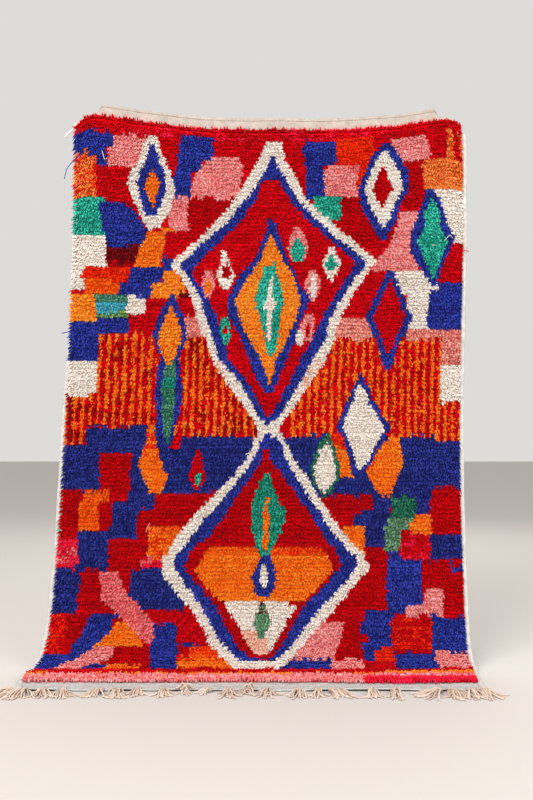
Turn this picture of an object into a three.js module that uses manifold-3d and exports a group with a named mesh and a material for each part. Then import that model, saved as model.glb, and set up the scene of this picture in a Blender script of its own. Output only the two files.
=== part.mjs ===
// A boujaad rug of knotted wool pile, held up by its two top corners. It faces -Y, leans back a little
// at the top, sweeps forward near the floor and lies on it with its last stretch and its tassels.
// Millimetres, +Z up. The origin is the middle of the top edge, on the back of the cloth.
import * as THREE from 'three';
import { mergeVertices } from 'three/addons/utils/BufferGeometryUtils.js';
import Module from 'manifold-3d';

const wasm = await Module();
wasm.setup();

const { degToRad, lerp, smoothstep } = THREE.MathUtils;

// The rug laid flat. Its length runs from the top edge to the edge with the tassels.
const RUG_WIDTH = 1300;
const RUG_LENGTH = 2020;
const TOP_KILIM = 40;
const FOOT_KILIM = 78;
const SELVEDGE = 10;

// Thicknesses, from the back of the cloth to its face
const KILIM_THICK = 4;
const SELVEDGE_THICK = 6;
const PILE_THICK = 20;
const PILE_LUMP = 5;

// The pile rises from the flat weave over this width, and its lumps are about this far apart.
const PILE_SHOULDER = 6;
const LUMP_PITCH = 52;

// Locks of yarn that stand out round the rim of the pile
const LOCK_REACH = 15;
const LOCK_DROOP = 4;
const LOCK_INSET = 0.34;

// How it hangs: lean is the slope in degrees, 0 straight down and 90 flat on the floor,
// and left and right are where the two side edges are.
const SECTIONS = [
  { along: 0, lean: 2.5, left: -655, right: 655 },
  { along: 180, lean: 3, left: -653, right: 659 },
  { along: 430, lean: 3.8, left: -652, right: 656 },
  { along: 700, lean: 5, left: -659, right: 644 },
  { along: 960, lean: 7, left: -667, right: 634 },
  { along: 1200, lean: 9.5, left: -673, right: 628 },
  { along: 1450, lean: 12.5, left: -677, right: 624 },
  { along: 1610, lean: 16, left: -680, right: 621 },
  { along: 1715, lean: 26, left: -681, right: 618 },
  { along: 1778, lean: 42, left: -683, right: 616 },
  { along: 1828, lean: 64, left: -688, right: 613 },
  { along: 1868, lean: 90, left: -700, right: 611 },
  { along: 1910, lean: 90, left: -713, right: 611 },
  { along: 2020, lean: 90, left: -711, right: 610 },
];

// The two grips lift the top edge, which sags between them and droops outside them.
// turn is how far the kilim band is folded back, in degrees.
const TOP_EDGE = [
  { across: -650, rise: 8, turn: 165 },
  { across: -622, rise: 38, turn: 160 },
  { across: -590, rise: 54, turn: 120 },
  { across: -552, rise: 51, turn: 0 },
  { across: -430, rise: 30, turn: 0 },
  { across: -230, rise: 12, turn: 0 },
  { across: -60, rise: 1, turn: 0 },
  { across: 130, rise: 0, turn: 0 },
  { across: 270, rise: 5, turn: 0 },
  { across: 430, rise: 17, turn: 0 },
  { across: 535, rise: 35, turn: 0 },
  { across: 552, rise: 37, turn: 0 },
  { across: 586, rise: 41, turn: 110 },
  { across: 618, rise: 34, turn: 160 },
  { across: 650, rise: 8, turn: 165 },
];
const RISE_REACH = 420;
const BAND_STEPS = 4;
const BAND_STEP = TOP_KILIM / BAND_STEPS;

// Soft folds that run down from the grips and die out above the floor
const FOLDS = [
  { depth: 6, width: 640, shift: 0.6, slant: 0.25 },
  { depth: 4, width: 390, shift: 2.1, slant: -0.35 },
];
const BELLY = 12;
const FOLDS_END = 1650;

// The free edge of the kilim at the foot curls up off the floor by this much.
const EDGE_CURL = 3;

// The knotted warp tassels along the foot: aim is the way they point, 0 straight ahead and positive
// towards +X, and fan is half the angle over which their strands spread.
const TASSELS = [
  { across: -706, aim: -46, fan: 16, reach: 92 },
  { across: -683, aim: -12, fan: 11, reach: 88 },
  { across: -634, aim: 14, fan: 13, reach: 74 },
  { across: -580, aim: 20, fan: 13, reach: 70 },
  { across: -474, aim: -25, fan: 13, reach: 76 },
  { across: -424, aim: 2, fan: 13, reach: 74 },
  { across: -370, aim: -3, fan: 15, reach: 54 },
  { across: -300, aim: 6, fan: 17, reach: 60 },
  { across: -236, aim: -4, fan: 20, reach: 42 },
  { across: -170, aim: -62, fan: 14, reach: 44 },
  { across: -114, aim: 0, fan: 17, reach: 76 },
  { across: -58, aim: -6, fan: 14, reach: 44 },
  { across: -6, aim: -4, fan: 15, reach: 70 },
  { across: 78, aim: 4, fan: 14, reach: 80 },
  { across: 134, aim: -2, fan: 12, reach: 62 },
  { across: 172, aim: 36, fan: 12, reach: 90 },
  { across: 282, aim: 0, fan: 14, reach: 78 },
  { across: 346, aim: 6, fan: 13, reach: 88 },
  { across: 474, aim: -58, fan: 11, reach: 92 },
  { across: 504, aim: 6, fan: 10, reach: 90 },
  { across: 560, aim: 2, fan: 8, reach: 84 },
  { across: 588, aim: 26, fan: 12, reach: 88 },
];
const STRANDS = 7;
const STRAND_WIDE = 2.4;
const STRAND_TIP = 3;
const STRAND_RISE = 0.9;
const STRAND_BENDS = 2;
const STRAND_WANDER = 3;
const KNOT = { wide: 19, deep: 12, high: 11 };
const KNOT_PROFILE = [
  { radius: 0, up: 0 },
  { radius: 0.8, up: 0 },
  { radius: 1, up: 0.45 },
  { radius: 0.5, up: 1 },
  { radius: 0, up: 1 },
];
const KNOT_SIDES = 8;
const ROOT_SPREAD = 14;
const SEAT_GAP = 0.3;

// A value from -1 to 1 that looks random and is the same each time
function scatter(i, j) {
  const value = Math.sin(i * 127.1 + j * 311.7) * 43758.5453;
  return 2 * (value - Math.floor(value)) - 1;
}

// A column of a table read between its rows, which are in order of the key
function readTable(table, key, at, column) {
  const next = table.findIndex((row) => row[key] >= at);
  if (next < 0) {
    return table[table.length - 1][column];
  }
  if (next === 0) {
    return table[0][column];
  }
  const low = table[next - 1];
  const high = table[next];
  return lerp(low[column], high[column], (at - low[key]) / (high[key] - low[key]));
}

const section = (along, column) => readTable(SECTIONS, 'along', along, column);
const topEdge = (across, column) => readTable(TOP_EDGE, 'across', across, column);

// The run of the back of the cloth from the top edge down, one entry for each millimetre of its length
function tracePath() {
  const path = [{ forward: 0, drop: 0 }];
  for (let along = 0; along < RUG_LENGTH; along += 1) {
    const lean = degToRad(section(along + 0.5, 'lean'));
    const last = path[along];
    path.push({ forward: last.forward + Math.sin(lean), drop: last.drop + Math.cos(lean) });
  }
  return path;
}

const PATH = tracePath();
const FLOOR_Z = -PATH[RUG_LENGTH].drop;

// The soft folds' depth towards the front
function foldDepth(across, along) {
  const fade = 1 - smoothstep(along, FOLDS_END / 3, FOLDS_END);
  let depth = BELLY * Math.cos((Math.PI * across) / RUG_WIDTH) * smoothstep(along, 0, FOLDS_END / 3);
  for (const fold of FOLDS) {
    depth += fold.depth * Math.sin((2 * Math.PI * (across + fold.slant * along)) / fold.width + fold.shift);
  }
  return depth * fade;
}

// A point of the cloth: across and along it as laid flat, and out from its back
function clothPoint(across, along, out) {
  const whole = Math.round(along);
  const lean = degToRad(section(along, 'lean'));
  const rise = topEdge(across, 'rise') * (1 - smoothstep(along, 0, RISE_REACH));
  const share = across / RUG_WIDTH + 0.5;
  return new THREE.Vector3(
    lerp(section(along, 'left'), section(along, 'right'), share),
    -(PATH[whole].forward + out * Math.cos(lean) + foldDepth(across, along)),
    rise - PATH[whole].drop + out * Math.sin(lean),
  );
}

// A point of the kilim band above the pile, which is folded back outside the grips
function bandPoint(across, along, out) {
  const hinge = clothPoint(across, TOP_KILIM, 0);
  const steps = Math.round((TOP_KILIM - along) / BAND_STEP);
  const turn = degToRad(topEdge(across, 'turn'));
  const point = hinge.clone();
  let heading = 0;
  for (let step = 0; step < steps; step += 1) {
    heading = (turn * (step + 1)) / BAND_STEPS;
    point.y += Math.sin(heading) * BAND_STEP;
    point.z += Math.cos(heading) * BAND_STEP;
  }
  point.y -= Math.cos(heading) * out;
  point.z += Math.sin(heading) * out;
  return point;
}

// Evenly spaced lines of the mesh from low to high, both ends included
function evenLines(low, high) {
  const count = Math.round((high - low) / LUMP_PITCH);
  return Array.from({ length: count + 1 }, (_, i) => Math.round(lerp(low, high, i / count)));
}

function meshColumns() {
  const side = RUG_WIDTH / 2;
  const foot = side - SELVEDGE;
  const top = foot - PILE_SHOULDER;
  return [
    { at: -side, pile: false },
    { at: -foot, pile: false },
    ...evenLines(-top, top).map((at) => ({ at, pile: true })),
    { at: foot, pile: false },
    { at: side, pile: false },
  ];
}

function meshRows() {
  const pileEnd = RUG_LENGTH - FOOT_KILIM;
  const band = Array.from({ length: BAND_STEPS + 1 }, (_, i) => ({ at: i * BAND_STEP, pile: false }));
  return [
    ...band,
    ...evenLines(TOP_KILIM + PILE_SHOULDER, pileEnd - PILE_SHOULDER).map((at) => ({ at, pile: true })),
    { at: pileEnd, pile: false },
    { at: RUG_LENGTH - FOOT_KILIM / 2, pile: false },
    { at: RUG_LENGTH, pile: false },
  ];
}

// The points and faces of one closed mesh, with its faces pointing out
function newMesh() {
  return { points: [], faces: [] };
}

function addPoint(mesh, point) {
  mesh.points.push(point);
  return mesh.points.length - 1;
}

function addQuad(mesh, a, b, c, d) {
  mesh.faces.push([a, b, c], [a, c, d]);
}

// A lock in place of a quad: a ring round its root and four faces up to its tip
function addLock(mesh, corners, away) {
  const middle = new THREE.Vector3();
  corners.forEach((corner) => middle.addScaledVector(mesh.points[corner], 1 / corners.length));
  const root = corners.map((corner) => addPoint(mesh, mesh.points[corner].clone().lerp(middle, LOCK_INSET)));
  const tip = addPoint(mesh, middle.clone().add(away));
  corners.forEach((corner, i) => {
    const next = (i + 1) % corners.length;
    addQuad(mesh, corner, corners[next], root[next], root[i]);
    mesh.faces.push([root[i], root[next], tip]);
  });
}

// The cloth's thickness at a line of the mesh each way
function thickness(column, row, i, j) {
  if (column.pile && row.pile) {
    return PILE_THICK + PILE_LUMP * scatter(i, j);
  }
  const besidePile = row.at > TOP_KILIM && row.at < RUG_LENGTH - FOOT_KILIM;
  return besidePile ? SELVEDGE_THICK : KILIM_THICK;
}

// The way a lock points from the shoulder of the pile, or null where there is no shoulder
function lockWay(columns, rows, i, j) {
  const side = Number(columns[i + 1].pile) - Number(columns[i].pile);
  const end = Number(rows[j + 1].pile) - Number(rows[j].pile);
  const vary = 1 + 0.3 * scatter(i + 5, j + 3);
  if (side !== 0 && rows[j].pile && rows[j + 1].pile) {
    return new THREE.Vector3(-side * LOCK_REACH * vary, 0, -LOCK_DROOP);
  }
  if (end > 0 && columns[i].pile && columns[i + 1].pile) {
    return new THREE.Vector3(0, -LOCK_DROOP, LOCK_REACH * vary);
  }
  if (end < 0 && columns[i].pile && columns[i + 1].pile) {
    return new THREE.Vector3(0, -LOCK_REACH * vary, -LOCK_DROOP / 2);
  }
  return null;
}

// Both faces of the cloth, the locks on the shoulders of the pile and the rim between the faces
function buildRug() {
  const columns = meshColumns();
  const rows = meshRows();
  const mesh = newMesh();
  const at = (column, row, out) => {
    const point = row.at < TOP_KILIM ? bandPoint(column.at, row.at, out) : clothPoint(column.at, row.at, out);
    point.z += row.at === RUG_LENGTH ? EDGE_CURL : 0;
    return addPoint(mesh, point);
  };
  const face = rows.map((row, j) => columns.map((column, i) => at(column, row, thickness(column, row, i, j))));
  const back = rows.map((row) => columns.map((column) => at(column, row, 0)));
  const lastRow = rows.length - 1;
  const lastColumn = columns.length - 1;
  for (let j = 0; j < lastRow; j += 1) {
    for (let i = 0; i < lastColumn; i += 1) {
      const corners = [face[j][i], face[j + 1][i], face[j + 1][i + 1], face[j][i + 1]];
      const away = lockWay(columns, rows, i, j);
      if (away) {
        addLock(mesh, corners, away);
      } else {
        addQuad(mesh, ...corners);
      }
      addQuad(mesh, back[j][i], back[j][i + 1], back[j + 1][i + 1], back[j + 1][i]);
    }
    addQuad(mesh, face[j][0], back[j][0], back[j + 1][0], face[j + 1][0]);
    addQuad(mesh, face[j + 1][lastColumn], back[j + 1][lastColumn], back[j][lastColumn], face[j][lastColumn]);
  }
  for (let i = 0; i < lastColumn; i += 1) {
    addQuad(mesh, face[0][i], face[0][i + 1], back[0][i + 1], back[0][i]);
    addQuad(mesh, back[lastRow][i], back[lastRow][i + 1], face[lastRow][i + 1], face[lastRow][i]);
  }
  return toGeometry(mesh);
}

function toGeometry(mesh) {
  const geometry = new THREE.BufferGeometry();
  const positions = mesh.points.flatMap((point) => point.toArray());
  geometry.setAttribute('position', new THREE.Float32BufferAttribute(positions, 3));
  geometry.setIndex(mesh.faces.flat());
  return geometry;
}

// A strand on the floor: a run of three sides along points that lie level, closed at both ends
function buildStrand(points, widths) {
  const mesh = newMesh();
  const last = points.length - 1;
  const rings = points.map((point, i) => {
    const ahead = points[Math.min(i + 1, last)].clone().sub(points[Math.max(i - 1, 0)]);
    const side = new THREE.Vector3(-ahead.y, ahead.x, 0).normalize();
    const half = widths[i] / 2;
    return [
      addPoint(mesh, point.clone().addScaledVector(side, -half)),
      addPoint(mesh, point.clone().addScaledVector(side, half)),
      addPoint(mesh, new THREE.Vector3(point.x, point.y, widths[i] * STRAND_RISE)),
    ];
  });
  for (let i = 0; i < last; i += 1) {
    rings[i].forEach((corner, k) => {
      const next = (k + 1) % 3;
      addQuad(mesh, corner, rings[i][next], rings[i + 1][next], rings[i + 1][k]);
    });
  }
  mesh.faces.push([...rings[0]].reverse(), rings[last]);
  return toGeometry(mesh);
}

// The strands of one tassel as solids, in a frame with the knot's middle over the origin of the floor
function buildStrands(tassel, index) {
  return Array.from({ length: STRANDS }, (_, k) => {
    const place = k / (STRANDS - 1) - 0.5;
    const start = new THREE.Vector3(place * ROOT_SPREAD, 0, 0);
    const reach = tassel.reach * (1 + 0.12 * scatter(index, k));
    const points = [start];
    const widths = [STRAND_WIDE];
    for (let step = 1; step <= STRAND_BENDS; step += 1) {
      const bend = STRAND_WANDER * scatter(index + 20, k + 7 * step);
      const heading = degToRad(tassel.aim + 2 * tassel.fan * place + bend);
      const length = reach / STRAND_BENDS;
      const last = points[points.length - 1];
      points.push(new THREE.Vector3(
        last.x + Math.sin(heading) * length,
        last.y - Math.cos(heading) * length,
        0,
      ));
      widths.push(lerp(STRAND_WIDE, STRAND_TIP, step / STRAND_BENDS));
    }
    return buildStrand(points, widths);
  });
}

// A knot, flat where it rests on the floor
function buildKnot() {
  const profile = KNOT_PROFILE.map((row) => new THREE.Vector2((row.radius * KNOT.wide) / 2, row.up * KNOT.high));
  const knot = new THREE.LatheGeometry(profile, KNOT_SIDES);
  knot.rotateX(Math.PI / 2);
  knot.scale(1, KNOT.deep / KNOT.wide, 1);
  return knot;
}

function toSolid(geometry) {
  const bare = geometry.clone();
  bare.deleteAttribute('normal');
  bare.deleteAttribute('uv');
  const merged = mergeVertices(bare, 1e-3);
  return new wasm.Manifold(new wasm.Mesh({
    numProp: 3,
    vertProperties: new Float32Array(merged.attributes.position.array),
    triVerts: new Uint32Array(merged.index.array),
  }));
}

function fromSolid(solid) {
  const { vertProperties, triVerts } = solid.getMesh();
  const geometry = new THREE.BufferGeometry();
  geometry.setAttribute('position', new THREE.BufferAttribute(vertProperties, 3));
  geometry.setIndex(new THREE.BufferAttribute(triVerts, 1));
  return geometry;
}

// A knot with its strands fused into it
function buildTassel(tassel, index) {
  let solid = toSolid(buildKnot());
  for (const strand of buildStrands(tassel, index)) {
    solid = solid.add(toSolid(strand));
  }
  return fromSolid(solid);
}

const PILE_WOOL = new THREE.MeshStandardMaterial({ color: 0xb8101f, roughness: 0.95, metalness: 0 });
const WARP_WOOL = new THREE.MeshStandardMaterial({ color: 0xe2d6c2, roughness: 0.95, metalness: 0 });

const rug = new THREE.Mesh(buildRug(), PILE_WOOL);
rug.name = 'rug';

const fringe = new THREE.Group();
const frontEdge = PATH[RUG_LENGTH].forward;
TASSELS.forEach((row, index) => {
  const tassel = new THREE.Mesh(buildTassel(row, index), WARP_WOOL.clone());
  tassel.name = `tassel_${String(index + 1).padStart(2, '0')}`;
  tassel.position.set(row.across, -(frontEdge + SEAT_GAP + KNOT.deep / 2), FLOOR_Z);
  fringe.add(tassel);
});

const boujaadRug = new THREE.Group();
boujaadRug.add(rug, fringe);

export default boujaadRug;
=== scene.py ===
"""A boujaad rug of knotted wool pile, held up by its two top corners and lying on the floor at its foot.

The cloth is one surface, given by cloth_point, and everything on it is placed by its place on the rug
laid flat: across from the middle, along from the top edge and out from the back, in millimetres.
The pattern is a chart in centimetres from the left and the top edge of the rug laid flat.
"""

import bpy
import numpy as np
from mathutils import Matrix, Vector


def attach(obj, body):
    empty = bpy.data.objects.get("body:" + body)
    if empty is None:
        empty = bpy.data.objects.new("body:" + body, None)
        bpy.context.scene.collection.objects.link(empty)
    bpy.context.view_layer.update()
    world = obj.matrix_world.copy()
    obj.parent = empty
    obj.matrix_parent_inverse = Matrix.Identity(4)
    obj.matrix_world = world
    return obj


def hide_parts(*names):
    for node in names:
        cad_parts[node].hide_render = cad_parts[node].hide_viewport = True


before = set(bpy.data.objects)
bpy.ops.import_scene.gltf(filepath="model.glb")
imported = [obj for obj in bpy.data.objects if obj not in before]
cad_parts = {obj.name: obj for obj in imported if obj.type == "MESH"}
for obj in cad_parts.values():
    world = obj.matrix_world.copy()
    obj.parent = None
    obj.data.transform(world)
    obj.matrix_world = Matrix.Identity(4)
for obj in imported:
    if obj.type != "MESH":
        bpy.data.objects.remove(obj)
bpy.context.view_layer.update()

MM = 0.001


def table(text):
    """The rows of a table written as text, each a list of numbers and names."""
    rows = [line.split() for line in text.strip().splitlines()[1:]]
    return [[word if word[0].isalpha() else float(word) for word in row] for row in rows]


# The rug laid flat, in millimetres
RUG_WIDTH = 1300
RUG_LENGTH = 2020
TOP_KILIM = 40
FOOT_KILIM = 78
SELVEDGE = 10
GROUND_THICK = 4
PILE_END = RUG_LENGTH - FOOT_KILIM
PILE_HALF_WIDE = RUG_WIDTH / 2 - SELVEDGE

# How it hangs: lean is the slope in degrees, 0 straight down and 90 flat on the floor
SECTIONS = np.array(table("""
along lean left right
0 2.5 -655 655
180 3 -653 659
430 3.8 -652 656
700 5 -659 644
960 7 -667 634
1200 9.5 -673 628
1450 12.5 -677 624
1610 16 -684 621
1715 26 -691 618
1778 42 -697 617
1828 64 -712 621
1868 90 -729 619
1910 90 -727 614
2020 90 -703 602
"""))
LEAN, LEFT, RIGHT = 1, 2, 3

# The two grips lift the top edge, and outside them the kilim band is folded back by turn degrees
TOP_EDGE = np.array(table("""
across rise turn
-650 8 165
-622 38 160
-590 54 120
-552 51 0
-430 30 0
-230 12 0
-60 1 0
130 0 0
270 5 0
430 17 0
535 35 0
552 37 0
586 41 110
618 34 160
650 8 165
"""))
RISE_REACH = 420
BAND_FOLD = 16

# Soft folds that run down from the grips and die out above the floor
FOLDS = table("""
depth width shift slant
6 640 0.6 0.25
4 390 2.1 -0.35
""")
BELLY = 12
FOLDS_END = 1650
EDGE_CURL = 3
CURL_START = RUG_LENGTH - FOOT_KILIM / 2

# The tassels along the foot: aim and fan in degrees, reach in millimetres
TASSELS = table("""
across aim fan reach
-706 -46 16 92
-683 -12 11 88
-634 14 13 74
-580 20 13 70
-474 -25 13 76
-424 2 13 74
-370 -3 15 54
-300 6 17 60
-236 -4 20 42
-170 -62 14 44
-114 0 17 76
-58 -6 14 42
-6 -4 15 70
78 4 14 80
134 -2 12 62
172 36 12 90
282 0 14 78
346 6 13 88
474 -58 11 92
504 6 10 90
560 2 8 84
588 26 12 88
""")
KNOT_DEEP = 12
KNOT_WIDE = 19
KNOT_HIGH = 11
SEAT_GAP = 0.3
STRAND_RINGS = 9
STRAND_SIDES = 5
# A tassel of less reach than this bushes up over the kilim as well
SHORT_TASSEL = 43
OVER_KILIM = 11

# The knots of the pile
KNOTS_ACROSS = 118
KNOTS_ALONG = 144
ENDS_A_KNOT = 5
KNOT_PITCH_ACROSS = 2 * PILE_HALF_WIDE / KNOTS_ACROSS
KNOT_PITCH_ALONG = (PILE_END - TOP_KILIM) / KNOTS_ALONG
BED_HEIGHT = 8.0
YARN_RADIUS = 3.0
PILE_HEIGHT = 17.5
PILE_DROOP = 10.0
ROOT_DEEP = 2.0
KNOT_SWAY = 2.6
END_SWAY = 3.4
KNOT_DROOP = 2.0
OVER_LEFT_SELVEDGE = 14
FOOT_SHIFT = 4
LONGER_FOOT = 16
FOOT_FLATTENED = 0.75
# The tips hang lower than their knots, so the chart is read this many centimetres down
TIP_SHIFT = 0.9
# Painted along each yarn end: painted shade at the root, less at the middle, and a painted highlight at the
# tip
ROOT_SHADE_TIP_HIGHLIGHT = np.array([-0.2, -0.2, -0.2, -0.06, -0.06, -0.06, 0.4])

# The wool of each colour, dark to light in sRGB, and the record's slot it belongs to
# Crimson is lighter than its wool: painted light from the floor on the band at the foot, where it lies flat
YARNS = {row[0]: (row[1:4], row[4:7], row[7]) for row in table("""
name dark light slot
red 180 0 8 242 0 26 red_pile
dark_red 170 0 6 222 0 18 dark_red_pile
deep_red 142 0 8 196 0 16 dark_red_pile
crimson 224 8 36 255 44 84 crimson_pile
purple 150 40 120 206 100 176 crimson_pile
maroon 98 4 12 146 14 26 maroon_pile
blue 29 36 119 60 76 190 blue_pile
deep_blue 26 31 100 54 66 162 blue_pile
cream 245 231 219 251 243 235 cream_pile
pink 240 112 114 252 184 180 pink_pile
rose 232 84 90 255 150 150 pink_pile
dusty_pink 222 104 96 255 184 168 dusty_pink_pile
peach 246 178 156 255 216 196 peach_pile
orange 252 98 6 255 152 44 orange_pile
amber 254 116 10 255 176 60 orange_pile
deep_orange 240 70 4 255 122 26 orange_pile
apricot 236 92 30 255 164 86 orange_pile
burnt_orange 222 14 2 255 66 12 burnt_orange_pile
green 14 139 116 76 218 192 green_pile
jade 14 118 96 60 188 160 green_pile
dark_green 26 92 72 62 142 114 dark_green_pile
grey_green 76 122 92 142 190 148 sage_pile
sage 42 106 86 108 174 144 sage_pile
olive 80 128 72 136 176 104 sage_pile
sky 44 148 172 104 204 222 sky_pile
""")}
YARN_NAMES = list(YARNS)

# Loose threads: the yarn, its radius in millimetres, and its route from the left and the top edge in
# centimetres and from the back in millimetres
LOOSE = [
    ("blue", 1.4, [(3, 15, 14), (1, 15.5, 22), (-0.8, 16.5, 20), (-2, 18, 14), (-2.6, 19.5, 8),
                   (-3, 21, 4)]),
    ("blue", 1.6, [(2.5, 73, 12), (0.5, 72.5, 20), (-2, 73, 18)]),
    ("cream", 3.2, [(1, 3.5, 10), (-0.5, 4.5, 4), (-2, 5.5, 0), (-3, 6.5, -3)]),
    ("cream", 4, [(-2.2, 5.6, -2), (-2.6, 6.4, 1), (-3, 6.8, -4), (-2.4, 6.2, -6)]),
    ("cream", 0.9, [(9.5, 14.5, 16), (10, 16, 20), (10.5, 17.5, 18)]),
    ("pink", 1, [(29.5, 135.5, 15), (29, 136.5, 20), (28.5, 137.5, 20), (28.5, 138.5, 16)]),
    ("cream", 0.9, [(122.5, 42, 15), (123.5, 41, 20), (124.5, 40, 20), (125.5, 41, 16)]),
    ("cream", 1, [(118.5, 43.5, 16), (119.5, 43.5, 19)]),
    ("green", 1.8, [(1.5, 138, 17), (0.5, 137.5, 20), (-0.3, 138, 18)]),
    ("red", 1.5, [(128.5, 45.5, 12), (130, 45, 18), (131, 45.5, 14)]),
]

# The pattern's blocks, in centimetres, painted in this order. A lean shifts the sides by the bottom.
BLOCKS = """
yarn left top right bottom lean
pink 13.5 9.5 28 19.5 -3
apricot 0 14 8 29
blue 0 7.5 2 14.5
blue 1.5 8.5 4.5 14.5
blue 4 9 6 14.5
blue 5.5 9.5 13.5 14.5
blue 5 14 11 17
blue 7.5 15 11 20
green 0 28.5 11 40.5
cream 0 40.5 11.5 51.5
cream 0 51.5 5 59
maroon 11.5 43.5 23.5 50
dark_red 11.5 49.5 21 52.5
blue 30 48.5 37 52
blue 29.5 48 34 50
pink 31.5 28 38.5 39
orange 29 37.5 34 39.5
pink 27.5 39 31 41
dark_red 38.5 28 56 40
blue 19 51.5 33 56
blue 15.5 56 27 62
burnt_orange 4 51.5 19.5 55.5
deep_orange 5 55.5 15.5 62
amber 30.5 53 36.5 56.5
amber 26.5 56.5 38 61.5
amber 0 60.5 9 71
sage 8.5 61 19.5 63.5
sky 8.5 63 19.5 66
olive 8.5 66 19.5 68.5
cream 19 61 25 67
maroon 36 60 40 62
dusty_pink 36.5 67.5 45 75
blue 0 70 9.5 73
blue 9 68 20 73
blue 0 73 10.5 83
cream 0 83 11 94
blue 35.5 8 46.5 16
blue 34.5 14 42.5 20
blue 33.5 19 39.5 28
blue 76.5 8.5 87.5 17
blue 77 17 83.5 28
burnt_orange 87 7.5 100 20
burnt_orange 93 17 98 25
pink 83.5 17.5 94.5 27.5
green 79.5 27.5 88.5 36
dark_red 88.5 27.5 102 43
pink 105 9 117 17 2
apricot 124 8 126 17
apricot 128 8 130 16
apricot 116 16.5 130 25.5
dark_red 109.5 17 116 32
cream 118.5 26 130 43.5
blue 117.5 56.5 130 72.5
cream 107 52 120 60
cream 111 60 118 73.5
cream 117.5 56.5 121 59.5
dusty_pink 87 68 100 75.5
dusty_pink 110.5 72 130 75.5
dusty_pink 122.5 72 130 84.5
cream 121 84.5 130 97.5
deep_blue 7.5 104.5 62 126
deep_blue 0 110.5 14 125
deep_blue 71 107.5 130 127
dark_red 12.5 113 22.5 128.5
deep_orange 7.5 125.5 16 129.5
deep_orange 6.5 129 13 138.5
deep_blue 22 125 31 131
deep_blue 17 129 25.5 141
deep_blue 6.5 138 17 151
orange 29 137 40 147
crimson 27.5 147 35 151.5
crimson 0 141 7 150.5
deep_blue 0 150.5 8.5 164.5
deep_blue 24.5 150.5 42 163.5
burnt_orange 0 164.5 6.5 178
dark_red 6 164.5 13 176
blue 12.5 164.5 21.5 177.5 -4
dark_red 20.5 175 34 184
blue 31.5 167.5 39.5 184.5 3
blue 42 174.5 47 176
deep_orange 45 175 55 179.5
orange 42 179 60 184
blue 0 178 12 185.5
blue 14 182 23 185.5
orange 21 182.5 31 185.5
deep_blue 100.5 126 107 131
deep_blue 97.5 131 106 133.5
deep_blue 94.5 133 106 136.5
deep_blue 97.5 136.5 105.5 143.5
orange 91 136.5 98 146
dark_green 106.5 127 115 135
grey_green 105.5 134 115 138.5
grey_green 104.5 137.5 110.5 145
deep_blue 115 125.5 119.5 132.5
dark_red 119.5 124.5 130 140
orange 114.5 133 119.5 140
orange 112.5 136 116 140
red 109.5 139 119 148
deep_blue 118.5 139.5 130 148
blue 125.5 149.5 129.5 151
blue 105 144.5 109.5 165
blue 109 148 116 165
pink 116.5 157 122.5 165.5
pink 111 162.5 122.5 165.5
blue 98.5 163 106.5 168
blue 97 168 106 180
dark_red 96.5 171.5 99.5 174
burnt_orange 106 166 118.5 177
burnt_orange 100.5 176 107 181
blue 118.5 165.5 130 177
dark_red 88.5 166 97 180.5
blue 107 177.5 119 184.5
pink 119.5 177 130 184
blue 72 179 87.5 184.5
pink 87.5 180 97 185.5
"""

# Blocks of orange stripes on red, in centimetres
STRIPES = """
left top right bottom pitch
10 73 30 104.5 2.75
0 94 11.5 104.5 2.6
0 104.5 7.5 110.5 2.6
36 75 64 107.5 2.5
74 75.5 122.5 107.5 2.5
121 96.5 130 109 2.5
"""
STRIPE_SHARE = 0.40

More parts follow.
